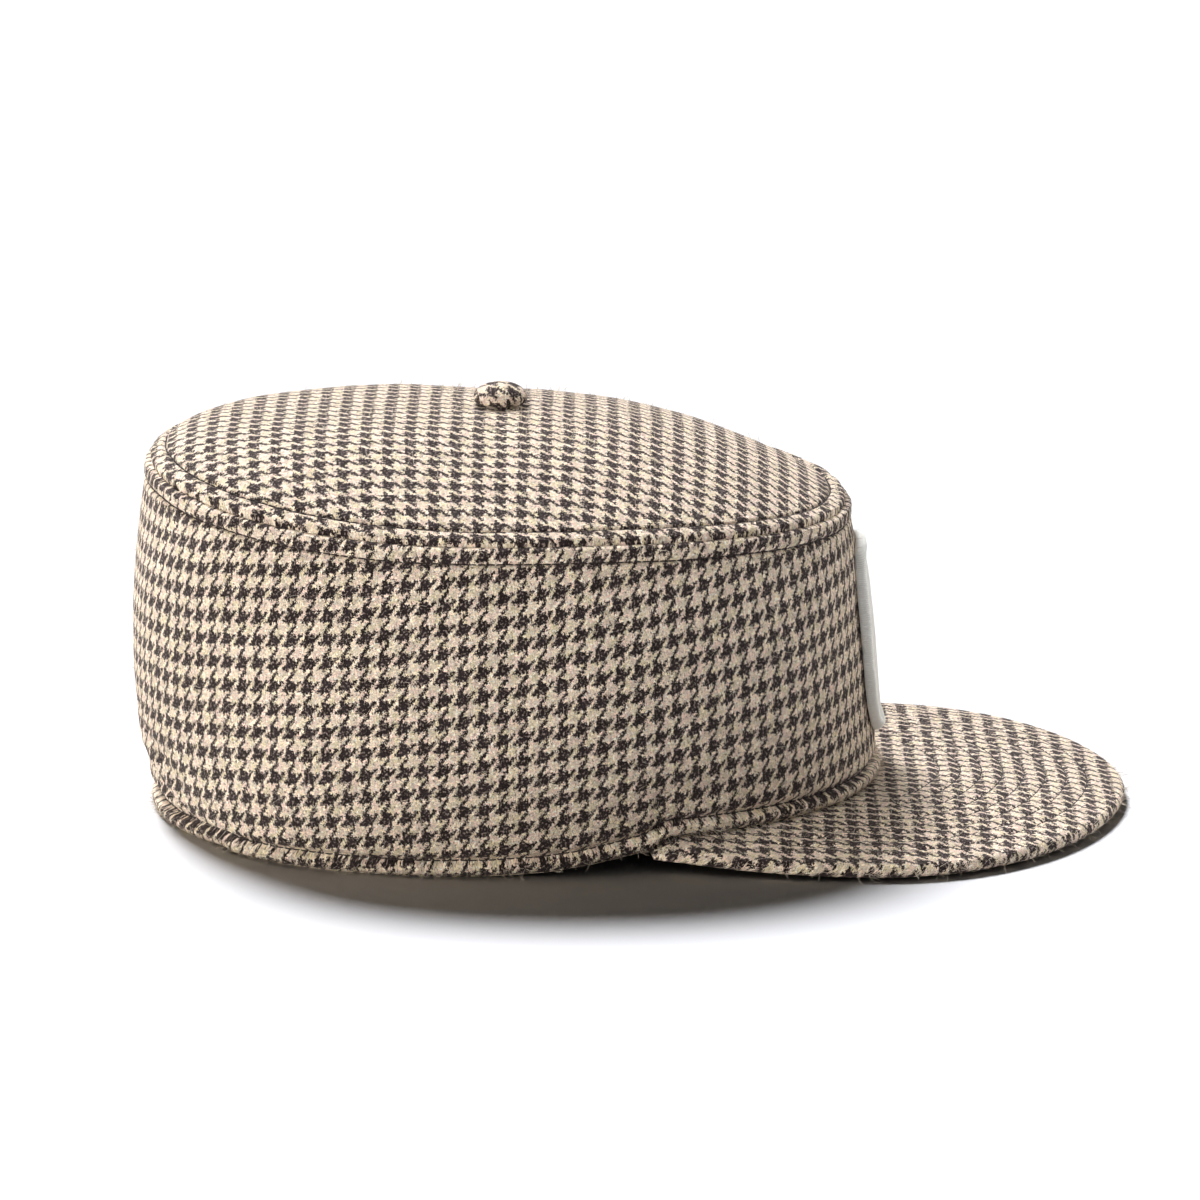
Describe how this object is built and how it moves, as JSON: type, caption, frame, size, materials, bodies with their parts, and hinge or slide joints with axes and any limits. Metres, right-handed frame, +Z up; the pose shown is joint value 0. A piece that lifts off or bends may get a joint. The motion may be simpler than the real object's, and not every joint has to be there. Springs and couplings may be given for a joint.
{
  "type": "pillbox cap",
  "caption": "Soft pillbox cap with a tall round side, a low domed top, a short stitched peak, a covered button and a plain felt patch.",
  "frame": {"origin": "middle of the cap's floor plan, on the surface that its hem rests on", "axes": "+X from the back of the crown to the tip of the peak, +Y to the wearer's left, +Z up through the button"},
  "size_m": [0.277, 0.176, 0.119],
  "materials": {
    "houndstooth_wool": "brown and cream houndstooth wool, slightly fuzzy, matte",
    "ivory_felt": "ivory felt with a satin-stitched edge, matte"
  },
  "bodies": {
    "root": {"top_panel": "houndstooth_wool", "side_band": "houndstooth_wool", "peak": "houndstooth_wool", "top_button": "houndstooth_wool", "front_patch": "ivory_felt"}
  },
  "joints": []
}
